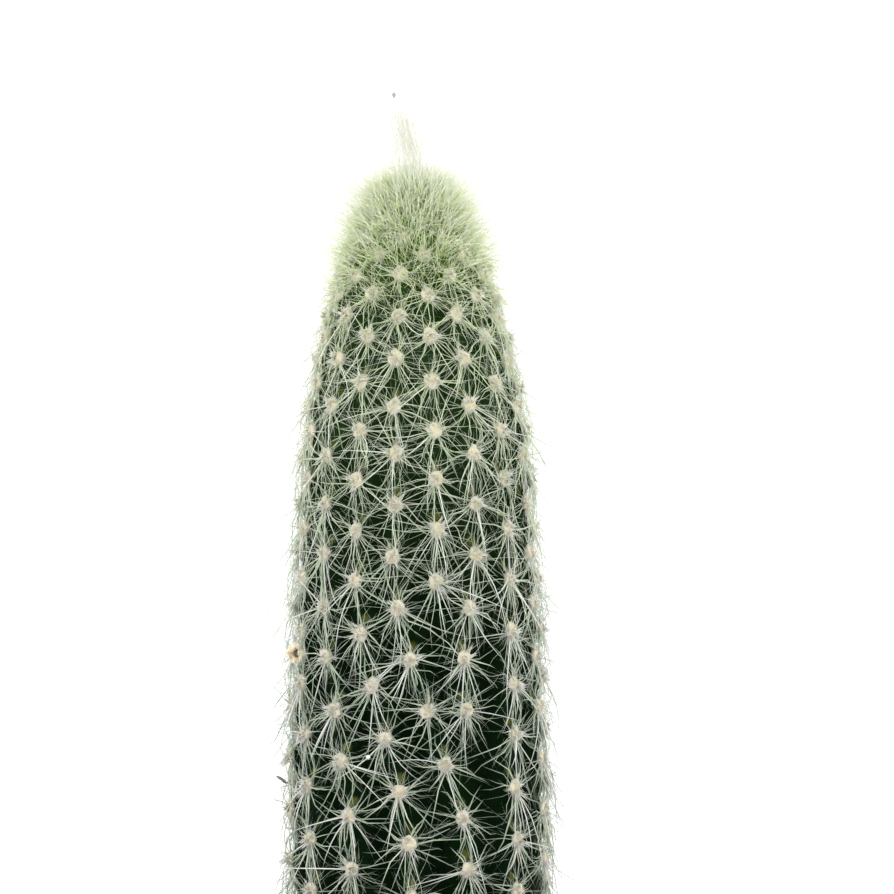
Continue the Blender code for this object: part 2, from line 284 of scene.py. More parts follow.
def stem_radius(depth):
    """The radius over the ribs at depths below the tip, the buried end included."""
    taper, fullness = CROWN_ROUNDNESS
    crown = SHOULDER_RADIUS * (1.0 - (1.0 - np.minimum(depth / CROWN_DEPTH, 1.0)) ** taper) ** fullness
    swell = np.sin(np.pi / 2 * np.clip((depth - CROWN_DEPTH) / (WAIST_DEPTH - CROWN_DEPTH), 0.0, 1.0))
    column = SHOULDER_RADIUS + (WAIST_RADIUS - SHOULDER_RADIUS) * swell
    column += (NECK_RADIUS - column) * smooth_step(STEM_ABOVE_MIX - NECK_LENGTH, STEM_ABOVE_MIX, depth)
    share = np.clip((depth - STEM_ABOVE_MIX) / ROOT_DEPTH, 0.0, 1.0)
    buried = ROOT_RADIUS + (NECK_RADIUS - ROOT_RADIUS) * np.sqrt(1.0 - share ** 2)
    return np.where(depth < CROWN_DEPTH, crown, np.where(depth < STEM_ABOVE_MIX, column, buried))


DEPTHS = (STEM_ABOVE_MIX + ROOT_DEPTH) * np.linspace(0.0, 1.0, OUTLINE_STEPS + 1) ** 1.5
RADII = stem_radius(DEPTHS)
ARCS = np.concatenate([[0.0], np.cumsum(np.hypot(np.diff(DEPTHS), np.diff(RADII)))])
FALL = np.gradient(DEPTHS, ARCS)
FLARE = np.gradient(RADII, ARCS)
MIX_ARC = np.interp(STEM_ABOVE_MIX, DEPTHS, ARCS)
print("from tip to mix along the skin", round(MIX_ARC * 1000, 1), "mm")

# %% [markdown]
# A place on the skin needs more than a point: spines grow outward from it, or lie down the stem or round it.
# So one function gives the point and those three directions, for any azimuth and arc. Azimuth 0 faces the
# camera and 90 faces +X. The tip leans a little to the left, as in the photograph. Hairs make a stem look
# stouter than it is, so the bare skin of the column lies half a millimetre inside the solid's outline.

# %% Find places on the skin
HAIR_ROOM = 0.0005
HAIR_ROOM_RISE = 0.030
HAIR_ROOM_FALL = (0.004, 0.014)


def on_skin(azimuth, arc):
    """Points on the smooth stem, with the directions outward, down and round at each."""
    azimuth, arc = np.broadcast_arrays(np.asarray(azimuth, float), np.asarray(arc, float))
    turn = np.radians(azimuth)
    level = np.zeros_like(turn)
    side = np.stack([np.sin(turn), -np.cos(turn), level], axis=-1)
    round_way = np.stack([np.cos(turn), np.sin(turn), level], axis=-1)
    depth = np.interp(arc, ARCS, DEPTHS)[..., None]
    above = MIX_ARC - arc
    room = HAIR_ROOM * smooth_step(0.0, HAIR_ROOM_RISE, arc) * smooth_step(*HAIR_ROOM_FALL, above)
    radius = (np.interp(arc, ARCS, RADII) - room)[..., None]
    fall = np.interp(arc, ARCS, FALL)[..., None]
    flare = np.interp(arc, ARCS, FLARE)[..., None]
    up = np.array((0.0, 0.0, 1.0))
    lean = TIP_LEAN * np.clip(1.0 - depth / STEM_ABOVE_MIX, 0.0, 1.0) ** 2
    point = side * radius + up * (STEM_TIP - depth) + lean
    outward = side * fall + up * flare
    down = side * flare - up * fall
    return point, unit(outward), unit(down), round_way


def unit(vectors):
    """The same directions with length 1."""
    return vectors / np.linalg.norm(vectors, axis=-1, keepdims=True)


# %% [markdown]
# ## Ribs and areoles
#
# Areoles are the woolly cushions that bear the spines. They stand in rows along the ribs, and neighbouring
# ribs take turns, so that the rows interlock. There are 18 ribs at the crown, and 4 of them die out on the
# way down. Toward the tip the areoles crowd together, because that is where the plant grows. The places
# come from the same formulas and the same seeded draws as the solid model, the stones of the mix included,
# so that every piece here lies on its solid.

# %% Draw the stones and the areoles
SEED = 20
STONE_COUNT = 64
STONE_RADII = (0.0017, 0.0032)
STONE_BEDS = (-0.1, 0.2)
STONE_WIDTHS = (0.85, 1.2)
STONE_HEIGHTS = (0.55, 0.8)
STONE_TILT = 0.3
RIBS = 18
FIRST_RIB_AZIMUTH = -10.0
SURVIVING_RIB_AZIMUTH = 22.5
RIB_SHIFT_DEPTHS = (0.077, 0.137)
ENDING_RIBS = {1: 0.082, 2: 0.107, 8: 0.092, 11: 0.110}
RIB_LEAN = {2: -8.0}
LEAN_DEPTHS = (0.075, 0.095)
HALF_PITCH = 0.00515
CROWN_CROWDING = 0.72
CROWDING_STEPS = 7.0
FIRST_AREOLE_STEP = 3
CROWN_SPINE_STEPS = 11
BARE_BASE = 0.0055
AREOLE_SCATTER = 0.00028


def rib_azimuth(rib, depth):
    """The azimuth of a rib at a depth. Below the ribs that die out, the others spread evenly."""
    crown = FIRST_RIB_AZIMUTH + 360.0 / RIBS * rib
    if rib in ENDING_RIBS:
        return crown + RIB_LEAN.get(rib, 0.0) * smooth_step(*LEAN_DEPTHS, depth)
    left = RIBS - len(ENDING_RIBS)
    rank = sum(1 for other in range(rib) if other not in ENDING_RIBS)
    turn = (SURVIVING_RIB_AZIMUTH + 360.0 / left * rank - crown + 180.0) % 360.0 - 180.0
    return crown + turn * smooth_step(*RIB_SHIFT_DEPTHS, depth)


draw = random.Random(SEED)
stones = []
for number in range(STONE_COUNT):
    size, bed = draw.uniform(*STONE_RADII), draw.uniform(*STONE_BEDS)
    widths = (draw.uniform(*STONE_WIDTHS), draw.uniform(*STONE_WIDTHS), draw.uniform(*STONE_HEIGHTS))
    leaning = Vector((draw.uniform(-STONE_TILT, STONE_TILT), draw.uniform(-STONE_TILT, STONE_TILT), 1.0))
    stones.append((number, size, bed, widths, leaning))

areoles, arc, step = [], 0.0, 0
while np.interp(arc, ARCS, DEPTHS) <= STEM_ABOVE_MIX - BARE_BASE:
    depth, radius = np.interp(arc, ARCS, DEPTHS), np.interp(arc, ARCS, RADII)
    for rib in range(RIBS):
        if step >= FIRST_AREOLE_STEP and (rib + step) % 2 and depth <= ENDING_RIBS.get(rib, math.inf):
            scatter = AREOLE_SCATTER * min(1.0, step / CROWN_SPINE_STEPS)
            nudged = arc + draw.uniform(-scatter, scatter)
            sway = math.degrees(draw.uniform(-scatter, scatter) / radius)
            areoles.append((step, rib_azimuth(rib, depth) + sway, nudged))
    arc += HALF_PITCH * (1.0 - CROWN_CROWDING * math.exp(-step / CROWDING_STEPS))
    step += 1
AREOLE_STEP, AREOLE_AZIMUTH, AREOLE_ARC = np.array(areoles).T
print(len(areoles), "areoles and", len(stones), "stones")

# %% [markdown]
# ## The skin
#
# The ribs could be sculpted by hand, but they follow rules, so a formula gives their height instead. A point
# that is as far from one rib as from the next lies in the groove between them. Each areole stands on a low
# swelling, with a notch just above it. The formula also returns how close a point is to a rib's crest and to
# the paler patch over an areole, for the material to read.

# %% Shape the ribs
VALLEY_DEPTH = 0.0021
VALLEY_SHARPNESS = 2.3
FULL_RIB_RADIUS = 0.018
RIB_FADE = 0.012
RIB_FADE_SHIFT = 0.012
SWELLING = (0.0010, 0.0024, 0.0004)
NOTCH = (0.0007, 0.0016, -0.0036)
PATCH = (1.0, 0.0015, -0.0026)
YOUNG_AREOLE = 0.42

AREOLE_POINT, AREOLE_OUT, AREOLE_DOWN, AREOLE_ROUND = on_skin(AREOLE_AZIMUTH, AREOLE_ARC)
AREOLE_SIZE = YOUNG_AREOLE + (1.0 - YOUNG_AREOLE) * smooth_step(2.0, 15.0, AREOLE_STEP)


def rib_relief(azimuth, arc):
    """The height of the ribbed skin over the smooth stem, how near a crest it is, and how pale the patch."""
    point = on_skin(azimuth, arc)[0]
    depth, radius = np.interp(arc, ARCS, DEPTHS), np.interp(arc, ARCS, RADII)
    away = []
    for rib in range(RIBS):
        turn = (azimuth - rib_azimuth(rib, depth) + 180.0) % 360.0 - 180.0
        ended = smooth_step(0.0, RIB_FADE, depth - ENDING_RIBS.get(rib, math.inf))
        away.append(np.abs(np.radians(turn)) * radius + RIB_FADE_SHIFT * ended)
    nearest, second = np.sort(away, axis=0)[:2]
    groove = 2.0 * nearest / (nearest + second + 1e-9)
    depth_here = VALLEY_DEPTH * np.minimum(1.0, radius / FULL_RIB_RADIUS)
    depth_here = depth_here * (1.0 - 0.5 * smooth_step(MIX_ARC - NECK_LENGTH, MIX_ARC, arc))
    height = -depth_here * groove ** VALLEY_SHARPNESS
    patch = np.zeros_like(height)
    for centre, down, size in zip(AREOLE_POINT, AREOLE_DOWN, AREOLE_SIZE):
        for (amount, width, lower), sign in ((SWELLING, 1.0), (NOTCH, -1.0), (PATCH, 0.0)):
            gap = np.sum((point - centre - down * lower * size) ** 2, axis=-1)
            bell = amount * np.exp(-gap / (width * size) ** 2)
            height = height + sign * size * bell
            patch = patch + (sign == 0.0) * bell
    return height, 1.0 - groove, patch


print("a groove is", VALLEY_DEPTH * 1000, "mm deep on a full rib")

# %% [markdown]
# The skin is spun from the outline like turned wood, in steps fine enough to carry small forms, and then the
# formula moves each of its points in or out. Spin starts and ends at the same place, so its seam is merged,
# and the points on the axis, which have no side to face, get no relief.

# %% Spin the skin
SKIN_STEPS = 240
SKIN_PITCH = 0.0008
BURIED_PITCH = 0.0026
WELD = 1e-6

rows = np.concatenate([
    np.arange(0.0, MIX_ARC, SKIN_PITCH),
    np.arange(MIX_ARC, ARCS[-1], BURIED_PITCH),
    [ARCS[-1]],
])
outline = [(np.interp(row, ARCS, RADII), STEM_TIP - np.interp(row, ARCS, DEPTHS)) for row in rows]
outline.append((0.0, outline[-1][1]))


def turned(profile, steps):
    """Spins an outline of (radius, height) points about the upright axis into a closed body."""
    bm = bmesh.new()
    corners = [bm.verts.new((radius, 0.0, height)) for radius, height in profile]
    edges = [bm.edges.new(pair) for pair in zip(corners, corners[1:])]
    bmesh.ops.spin(
        bm, geom=corners + edges, axis=(0.0, 0.0, 1.0), cent=(0.0, 0.0, 0.0),
        angle=math.tau, steps=steps, use_merge=True, use_duplicate=False,
    )
    bmesh.ops.remove_doubles(bm, verts=bm.verts, dist=WELD)
    bmesh.ops.recalc_face_normals(bm, faces=bm.faces)
    return bm


def store(mesh, name, values):
    """Keeps a number on each point of a mesh."""
    mesh.attributes.new(name, "FLOAT", "POINT").data.foreach_set("value", np.asarray(values, np.float32))


skin_finish = Finish("green_skin", 0.5)
stem = add_piece("stem_skin", turned(outline, SKIN_STEPS), skin_finish)
spot = np.zeros(len(stem.data.vertices) * 3)
stem.data.vertices.foreach_get("co", spot)
spot = spot.reshape(-1, 3)
skin_azimuth = np.degrees(np.arctan2(spot[:, 0], -spot[:, 1]))
skin_arc = np.interp(STEM_TIP - spot[:, 2], DEPTHS, ARCS)
on_axis = np.hypot(spot[:, 0], spot[:, 1]) < WELD
relief, crest, patch = rib_relief(skin_azimuth, skin_arc)
relief[on_axis] = 0.0
smooth_point, outward, _, _ = on_skin(skin_azimuth, skin_arc)
buried_pole = on_axis & (spot[:, 2] < MIX_TOP)
smooth_point[buried_pole] = spot[buried_pole]
stem.data.vertices.foreach_set("co", (smooth_point + outward * relief[:, None]).ravel())
stem.data.update()
store(stem.data, "crest", crest)
store(stem.data, "patch", patch)
print("relief from", round(relief.min() * 1000, 2), "to", round(relief.max() * 1000, 2), "mm")

# %% [markdown]
# The living skin is a deep, waxy green, with an olive patch over many areoles and a fresher yellow-green at
# the crown. Down in the grooves it is painted nearly black, and on the crests only a little lighter. That is
# painted shade for the shadow between the ribs and under the spines. All of that is mixing by masks: the
# stored crest and patch, the height for the crown, and noise at two sizes so that no area is one flat colour.

# %% Colour the skin
SHADED_GROOVE_GREEN, CREST_GREEN = (0.0004, 0.0034, 0.0006), (0.0010, 0.0090, 0.0020)
YOUNG_GREEN, CROWN_GREEN = (0.022, 0.055, 0.013), (0.140, 0.270, 0.016)
CLOUD_GREEN, GRAIN_GREEN = (0.006, 0.022, 0.004), (0.016, 0.036, 0.010)
OLIVE_PATCH = (0.110, 0.120, 0.026)
YOUNG_HEIGHTS = (0.150, 0.240)
CROWN_HEIGHTS = (0.222, 0.248)
SKIN_SHINE = 0.02

skin_crest = skin_finish.attribute("crest")
skin_patch = skin_finish.attribute("patch")
cloudy = skin_finish.noise(0.004)
fine_grain = skin_finish.noise(0.0006, 3.0)
young_mask = skin_finish.step(skin_finish.height(), *YOUNG_HEIGHTS)
crown_mask = skin_finish.step(skin_finish.height(), *CROWN_HEIGHTS)
patch_mask = skin_finish.step(skin_patch * cloudy, 0.20, 0.50)
# painted shade: the grooves stay near black and the crests only a little lighter, for the shadow between the
# ribs and under the spines
skin_finish.paint(SHADED_GROOVE_GREEN, [
    (skin_finish.step(skin_crest, 0.2, 1.0), CREST_GREEN),
    (young_mask * 0.9, YOUNG_GREEN),
    (cloudy * 0.20, CLOUD_GREEN),
    (patch_mask * 0.8, OLIVE_PATCH),
    (crown_mask * 0.9, CROWN_GREEN),
    (skin_finish.step(fine_grain, 0.45, 0.75) * 0.12, GRAIN_GREEN),
])
skin_finish.feed("Roughness", 0.50 + 0.25 * fine_grain)
skin_finish.shader.inputs["Specular IOR Level"].default_value = SKIN_SHINE
skin_finish.bump(fine_grain, 0.00012, 0.6)
print("the skin's finish has", len(skin_finish.tree.nodes), "nodes")
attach(stem, "root")
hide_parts("cactus")

# %% [markdown]
# ## The areoles' cushions
#
# Each areole is an oval pad of felt, about three millimetres across and a little taller than wide, and the
# young ones near the crown are plump for their size. A ball with 80 faces, flattened and half sunk in the
# skin, is enough for one, because there are three hundred of them. Its points are pushed about at random so
# that no pad looks moulded, and hairs will hide its edge. Each point keeps how far out and how low on its pad
# it lies. The material uses this to darken the worn middle and to paint a greyish lilac shade on the pad's
# lower side, where light from above does not reach. The round, down and outward directions are a left-handed
# set, which turns every ball inside out, so the normals are recalculated when all are made. The same ball
# later makes crumbs and grit.

# %% Seat the pads
def gather(whole, bm):
    """Adds a small bmesh to a large one. Operators slow down as a mesh grows, so repeats are made apart."""
    mesh = bpy.data.meshes.new("part")
    bm.to_mesh(mesh)
    bm.free()
    whole.from_mesh(mesh)
    bpy.data.meshes.remove(mesh)


def add_ball(whole, place, axes, radii, tone, lumps, detail, draw):
    """Adds a roughened ball whose half widths lie along three axes, with its tone kept on its points."""
    bm = bmesh.new()
    rise, low, own = (bm.verts.layers.float.new(name) for name in ("rise", "low", "tone"))
    bmesh.ops.create_icosphere(bm, subdivisions=detail, radius=1.0)
    for vert in bm.verts:
        vert[rise], vert[low], vert[own] = vert.co.z, vert.co.y, tone
        lump = 1.0 + draw.uniform(-lumps, lumps)
        vert.co = place + axes @ Vector([side * radius * lump for side, radius in zip(vert.co, radii)])
    gather(whole, bm)


PAD_RADII = (0.00140, 0.00162, 0.00080)
PAD_SEAT = 0.00015
PAD_LUMPS = 0.22
PLUMP_STEPS = (6.0, 18.0)
PLUMPNESS = 0.30

AREOLE_RELIEF = rib_relief(AREOLE_AZIMUTH, AREOLE_ARC)[0]
PAD_CENTRE = AREOLE_POINT + AREOLE_OUT * (AREOLE_RELIEF + PAD_SEAT)[:, None]
PAD_SIZE = AREOLE_SIZE + PLUMPNESS * (1.0 - smooth_step(*PLUMP_STEPS, AREOLE_STEP))
pad_draw = random.Random(31)
all_pads = bmesh.new()
for centre, out, down, round_way, size in zip(PAD_CENTRE, AREOLE_OUT, AREOLE_DOWN, AREOLE_ROUND, PAD_SIZE):
    axes = Matrix((round_way, down, out)).transposed()
    radii = [radius * size for radius in PAD_RADII]
    add_ball(all_pads, Vector(centre), axes, radii, pad_draw.random(), PAD_LUMPS, 2, pad_draw)

CREAM_FELT, WORN_FELT, WARM_FELT = (0.80, 0.75, 0.60), (0.72, 0.57, 0.30), (0.82, 0.75, 0.64)
YOUNG_FELT, LILAC_UNDERSIDE_SHADE, FRAYED_FELT = (0.62, 0.64, 0.43), (0.44, 0.40, 0.42), (0.82, 0.78, 0.64)

felt_finish = Finish("areole_felt", 0.95)
felt_rise, felt_low, felt_tone = (felt_finish.attribute(name) for name in ("rise", "low", "tone"))
felt_grain = felt_finish.noise(0.0005, 3.0)
felt_finish.paint(CREAM_FELT, [
    (felt_finish.step(felt_rise, 0.50, 0.95) * 0.75, WORN_FELT),
    (felt_tone * 0.4, WARM_FELT),
    (felt_finish.step(felt_finish.height(), *YOUNG_HEIGHTS) * 0.25, YOUNG_FELT),
    # painted shade: the lower side of each pad turns greyish lilac, as if light came from above
    (felt_finish.step(felt_low, 0.2, 1.0) * 0.5, LILAC_UNDERSIDE_SHADE),
    (felt_finish.step(felt_grain, 0.35, 0.7) * 0.25, FRAYED_FELT),
])
felt_finish.bump(felt_grain, 0.0004)
bmesh.ops.recalc_face_normals(all_pads, faces=all_pads.faces)
pads = add_piece("areole_pads", all_pads, felt_finish)
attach(pads, "root")

# %% [markdown]
# ## Hairs and spines as swept curves
#
# A spine is a thin tapering rod. Thousands of them would be slow to extrude one by one, but a curve object
# can hold thousands of short splines, and its bevel gives each point its own radius. With a bevel resolution
# of 0 a rod has four sides, enough for something a pixel or two wide. The curve is then made a mesh, its
# tips are merged to points and its open roots filled. Two numbers are kept for the material: how far along
# its spine a point is, and a random tone that each spine has of its own. A path that would dip into the
# potting mix is held a little above it, so that such a spine rests on the mix instead of passing through.


# %% Sweep spines
TIP_WELD = 1e-7
RESTING_HEIGHT = 0.0006


def sweep(name, paths, radii, tones, finish):
    """A piece of tapering rods. Paths are (rod, point, xyz) and radii are (rod, point)."""
    rods, points = radii.shape
    paths = np.array(paths)
    paths[:, :, 2] = np.maximum(paths[:, :, 2], MIX_TOP + RESTING_HEIGHT)
    curve = bpy.data.curves.new(name, "CURVE")
    curve.dimensions = "3D"
    curve.bevel_depth = 1.0
    curve.bevel_resolution = 0
    for path, radius in zip(paths, radii):
        spline = curve.splines.new("POLY")
        spline.points.add(points - 1)
        spline.points.foreach_set("co", np.column_stack([path, np.ones(points)]).ravel())
        spline.points.foreach_set("radius", radius)
    holder = bpy.data.objects.new(name + "_curve", curve)
    mesh = bpy.data.meshes.new_from_object(holder)
    bpy.data.objects.remove(holder)
    sides = len(mesh.vertices) // (rods * points)
    store(mesh, "along", np.tile(np.repeat(np.linspace(0.0, 1.0, points), sides), rods))
    store(mesh, "tone", np.repeat(tones, points * sides))
    bm = bmesh.new()
    bm.from_mesh(mesh)
    bmesh.ops.remove_doubles(bm, verts=bm.verts, dist=TIP_WELD)
    bmesh.ops.holes_fill(bm, edges=[edge for edge in bm.edges if edge.is_boundary], sides=0)
    piece = add_piece(name, bm, finish)
    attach(piece, "root")
    return piece


def rod_paths(root, way, length, bend, points):
    """Paths from roots along ways, bent by the bend vector times the square of the way along."""
    share = np.linspace(0.0, 1.0, points)[None, :, None]
    return root[:, None] + (way[:, None] * share + bend[:, None] * share ** 2) * length[:, None, None]


# %% [markdown]
# A spine is horn, and light passes through it, so the shader has subsurface scattering over half a
# millimetre. Without it the shaded side of a thin rod turns dark. Every kind of spine shares one finish: two
# colours for the two ends of its tone, a third for its root, a greener one near the crown, and a dark green
# one for the outer part of old spines low on the stem. That last colour dulls them with age and paints the
# shade that they lie in where they bend down against the skin.

# %% Make the spines' finish
YOUNG_SPINE = (0.54, 0.66, 0.33)
DULL_AND_SHADED_SPINE = (0.13, 0.19, 0.14)
OLD_HEIGHTS = (0.125, 0.215)
GLOW_DEPTH = 0.0005


def spine_finish(name, shade, pale, root_shade, youth=0.5, dull_and_shade=0.0, root_reach=0.35, root_share=0.5):
    """A pale horny finish, dull at the root, dulled and given painted shade on the outer part of old spines
    low on the stem, and greener at the crown.
    """
    finish = Finish(name, 0.6)
    finish.glow(1.0, (1.0, 1.0, 1.0), GLOW_DEPTH)
    along = finish.attribute("along")
    near_root = 1.0 - finish.step(along, 0.0, root_reach)
    old_part = 1.0 - finish.step(finish.height(), *OLD_HEIGHTS)
    finish.paint(shade, [
        (finish.step(finish.attribute("tone"), 0.2, 1.0), pale),
        (near_root * root_share, root_shade),
        (finish.noise(0.003) * 0.2, pale),
        (finish.step(finish.height(), *YOUNG_HEIGHTS) * youth, YOUNG_SPINE),
        # painted shade with some real dulling: the outer part of old spines low on the stem turns dark green
        # where it lies against the skin
        (old_part * finish.step(along, 0.05, 0.75) * dull_and_shade, DULL_AND_SHADED_SPINE),
    ])
    return finish


print("old spines dull below", OLD_HEIGHTS[1], "m")

# %% [markdown]
# ## Wool round the pads
#
# Short hairs fan out of each pad and blur it into the little star that shows in the photograph. Wool is never
# evenly spread: its hairs cling together in wisps. So each pad gets some points that stick out of it at
# random, and every hair starts anywhere on the pad and leans over to meet the others at one of those points.
# The downward wisps of old areoles are longer, and they are given a greyish lilac that paints the shade under
# each tuft, where light from above does not reach. The tone that is kept on every hair lets the material show
# it.

# %% Grow the wool
WOOL_HAIRS = 44
WOOL_WISPS = 11
WOOL_REACH = (0.0018, 0.0034)
WOOL_RADII = (0.00011, 0.00009, 0.0)
WOOL_LIFT = 75.0
OLD_WOOL_STEPS = (12.0, 32.0)

rng = np.random.default_rng(41)


def sprout(hair_counts):
    """The areole that each hair grows from, with the directions round, down and out of it."""
    owner = np.repeat(np.arange(len(areoles)), hair_counts)
    return owner, (AREOLE_ROUND[owner], AREOLE_DOWN[owner], AREOLE_OUT[owner])


def fan(turn, lift, round_way, down, out):
    """Directions that leave an areole at an angle round it, 0 being down, and at a lift off the skin."""
    turn, lift = turn[:, None], lift[:, None]
    return (round_way * np.sin(turn) + down * np.cos(turn)) * np.cos(lift) + out * np.sin(lift)


def clear_of_mix(owner, way, length, clearance):
    """Lengths cut so that straight spines end at least this high over the mix."""
    room = (PAD_CENTRE[owner, 2] - MIX_TOP - clearance) / np.maximum(-way[:, 2], 0.2)
    return np.minimum(length, room)


owner, axes = sprout(WOOL_HAIRS)
count = len(owner)
wisp = np.arange(count) % WOOL_WISPS
wisps = (len(areoles), WOOL_WISPS)
wisp_turn = rng.uniform(0.0, math.tau, wisps)[owner, wisp]
wisp_lift = np.radians(rng.uniform(0.0, WOOL_LIFT, wisps))[owner, wisp]
wisp_reach = rng.uniform(*WOOL_REACH, wisps)[owner, wisp] * (1.0 - 0.35 * np.sin(wisp_lift))
size = PAD_SIZE[owner]
age = smooth_step(*OLD_WOOL_STEPS, AREOLE_STEP)[owner]
shaded_beard = age * smooth_step(0.2, 0.9, np.cos(wisp_turn))
wisp_reach = wisp_reach * (1.0 + 0.35 * shaded_beard)
tip = fan(wisp_turn, wisp_lift, *axes) * (wisp_reach * size)[:, None] + rng.normal(0.0, 0.00018, (count, 3))
root_turn = wisp_turn + rng.normal(0.0, 0.55, count)
root_lift = np.clip(wisp_lift + rng.normal(0.0, 0.35, count), 0.0, 1.5)
root = fan(root_turn, root_lift, *axes) * (0.7 * PAD_RADII[0] * size)[:, None]
reach = np.linalg.norm(tip - root, axis=1)
curl = rng.normal(0.0, 0.12, (count, 3))
wool_paths = rod_paths(PAD_CENTRE[owner] + root, unit(tip - root), reach, curl, len(WOOL_RADII))
wool_radii = np.tile(WOOL_RADII, (count, 1)) * np.sqrt(size)[:, None]
# painted shade: the downward wisps of old areoles get a lower tone, which turns them greyish under the tuft
wool_tone = rng.uniform(0.65, 1.0, count) - 0.60 * shaded_beard
wool_finish = spine_finish(
    "areole_wool", (0.56, 0.54, 0.54), (0.90, 0.86, 0.71), (0.76, 0.65, 0.44), youth=0.38,
)
sweep("areole_wool", wool_paths, wool_radii, wool_tone, wool_finish)

# %% [markdown]
# ## Radial spines
#
# About two dozen fine spines leave the rim of each areole and lie close to the skin. Most of them point
# sideways and down, few point straight up, and those that point down are longer. They are nearly as long as
# the areoles are apart, and shorter near the crown, so they knit the surface together. Nothing grows like a
# drawn star, so direction, length, lift and bend all vary from spine to spine. A straight spine would shoot
# off the round stem at its sides, so each is bent back a little towards it.

# %% Grow the radial spines
RADIAL_SPINES = 24
RADIAL_LENGTH = 0.0090
RADIAL_ROOT = 0.0013
RADIAL_RADII = np.array((0.000090, 0.000082, 0.000058, 0.0))
RADIAL_WAVE = 0.00034
FINE_CLEARANCE = 0.0020
YOUNG_STEPS = (3.0, 12.0)
UPPER_STEPS = (8.0, 24.0)
OLD_STEPS = (14.0, 32.0)
YOUNG_LIFT = 30.0
DOWNWARD_CROWDING = 0.52

rng = np.random.default_rng(42)
spine_count = np.round(RADIAL_SPINES - 4.0 * smooth_step(*OLD_STEPS, AREOLE_STEP)).astype(int)
owner, axes = sprout(spine_count)
count = len(owner)
size = AREOLE_SIZE[owner]
young = 1.0 - smooth_step(*YOUNG_STEPS, AREOLE_STEP[owner])
spoke = (np.arange(count) + rng.uniform(-1.2, 1.2, count)) / spine_count[owner]
turn = math.tau * (spoke + rng.random(len(areoles))[owner])
turn = turn - DOWNWARD_CROWDING * np.sin(turn)
lift = np.radians(np.clip(rng.normal(9.0, 8.0, count), 1.0, 36.0) + YOUNG_LIFT * young)
way = fan(turn + rng.normal(0.0, 0.22, count), lift, *axes)
way = unit(way + np.array((0.0, 0.0, 0.7)) * young[:, None])
longer = (1.0 + 0.20 * np.cos(turn)) * np.clip(rng.normal(1.0, 0.24, count), 0.35, 1.6)
upper = 1.0 - smooth_step(*UPPER_STEPS, AREOLE_STEP[owner])
length = RADIAL_LENGTH * longer * (0.35 + 0.65 * size) * (1.0 - 0.26 * upper)
length = clear_of_mix(owner, way, length, FINE_CLEARANCE)
bend = -axes[2] * (0.15 + 0.22 * np.sin(turn) ** 2)[:, None] + rng.normal(0.0, 0.19, (count, 3))
root_turn = turn + rng.normal(0.0, 1.0, count)
root_reach = RADIAL_ROOT * size * rng.random(count)
root = PAD_CENTRE[owner] + fan(root_turn, lift * 0.5, *axes) * root_reach[:, None]
radial_paths = rod_paths(root, way, length, bend, len(RADIAL_RADII))
radial_paths[:, 1:3] += rng.normal(0.0, RADIAL_WAVE, (count, 2, 3))
thicker = 0.75 + 0.25 * size + 0.30 * smooth_step(*OLD_STEPS, AREOLE_STEP[owner])
radial_radii = RADIAL_RADII * (rng.triangular(0.6, 0.8, 1.6, count) * thicker)[:, None]
radial_finish = spine_finish(
    "radial_spines", (0.38, 0.49, 0.34), (0.74, 0.80, 0.60), (0.74, 0.74, 0.62), youth=0.8, dull_and_shade=0.75,
)
sweep("radial_spines", radial_paths, radial_radii, rng.random(count), radial_finish)

# %% [markdown]
# ## Central spines
#
# From the middle of the older areoles come up to four longer and stouter spines, nearly white, that point
# out and down. Some are bent in the middle where they once met a neighbour. They cross the finer net, and
# they catch the light first, so they do most for the look of the lower half. Like the finer spines, they are
# cut to a length that ends above the mix.

# %% Grow the central spines
CENTRAL_POINTS = 6
CENTRAL_RADIUS = 0.000130
CENTRAL_LENGTHS = (0.009, 0.012, 0.019)
CENTRAL_LIFTS = (6.0, 14.0, 38.0)
CENTRAL_TAPER = np.array((1.0, 0.92, 0.80, 0.62, 0.40, 0.0))
FIRST_CENTRAL_STEP = 8
STOUT_CLEARANCE = 0.0045

rng = np.random.default_rng(43)
chance = np.clip((AREOLE_STEP - FIRST_CENTRAL_STEP) / 14.0, 0.0, 1.0)
how_many = np.where(AREOLE_STEP > FIRST_CENTRAL_STEP, rng.binomial(4, 0.22 + 0.38 * chance), 0)
owner, axes = sprout(how_many)
count = len(owner)
turn = rng.normal(0.0, 0.7, count)
lift = np.radians(rng.triangular(*CENTRAL_LIFTS, count))
way = fan(turn, lift, *axes)
length = clear_of_mix(owner, way, rng.triangular(*CENTRAL_LENGTHS, count), STOUT_CLEARANCE)
bend = -axes[2] * rng.uniform(0.0, 0.3, count)[:, None] + rng.normal(0.0, 0.09, (count, 3))
central_paths = rod_paths(PAD_CENTRE[owner], way, length, bend, CENTRAL_POINTS)
kink = rng.normal(0.0, 0.0009, (count, 3)) * (rng.random(count) < 0.3)[:, None]
central_paths[:, 3:] += kink[:, None] * np.array((0.3, 1.0, 2.2))[None, :, None]
stoutness = rng.uniform(0.6, 1.0, count) + 0.2 * chance[owner]
central_radii = CENTRAL_RADIUS * CENTRAL_TAPER * stoutness[:, None]
print(count, "central spines, the longest", round(length.max() * 1000, 1), "mm")

# %% [markdown]
# Four spines stand out in the photograph: two side by side, one below them, and one at the left edge. They
# are added one by one from the pixels of their two ends. A pixel alone gives a line of sight and not a point,
# and a perspective camera sees more across the farther it looks, so the depth has to be known. At the front
# it is the skin's own, found by guessing a point, dropping it on the skin, and correcting the guess by what
# the camera would then see. Four rounds are plenty on a form this smooth.

